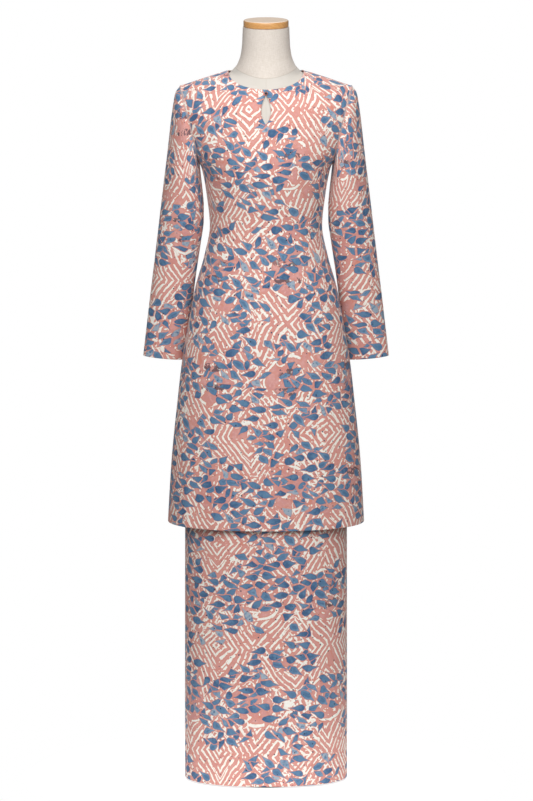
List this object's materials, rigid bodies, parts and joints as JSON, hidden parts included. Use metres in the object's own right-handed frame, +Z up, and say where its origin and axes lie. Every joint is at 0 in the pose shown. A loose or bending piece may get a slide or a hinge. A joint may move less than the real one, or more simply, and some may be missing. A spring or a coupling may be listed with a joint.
{
  "type": "baju kurung on dress form",
  "caption": "Long-sleeved round-neck knee-length tunic with a keyhole over a straight ankle-length skirt, worn on a limbless linen dress form with a wooden neck cap.",
  "frame": {"origin": "centre of the underside of the stand's round base, on the floor", "axes": "+Z up, garment front towards -Y, its left side towards +X"},
  "size_m": [0.512, 0.263, 1.598],
  "materials": {
    "batik_cloth": "printed rayon, matte with a soft sheen",
    "waist_elastic": "ribbed woven elastic",
    "closure_bead": "polished",
    "closure_thread": "twisted thread",
    "form_linen": "woven linen, matte",
    "cap_wood": "varnished edge, matt top",
    "stand_metal": "satin powder coat"
  },
  "bodies": {
    "root": {"baju_front": "batik_cloth", "baju_back": "batik_cloth", "sleeve_left": "batik_cloth", "sleeve_right": "batik_cloth", "neck_button": "closure_bead", "neck_loop": "closure_thread", "skirt_front": "batik_cloth", "skirt_back": "batik_cloth", "skirt_waistband": "waist_elastic", "form_torso": "form_linen", "form_neck_cap": "cap_wood", "form_pole": "stand_metal", "form_base": "stand_metal"}
  },
  "joints": []
}
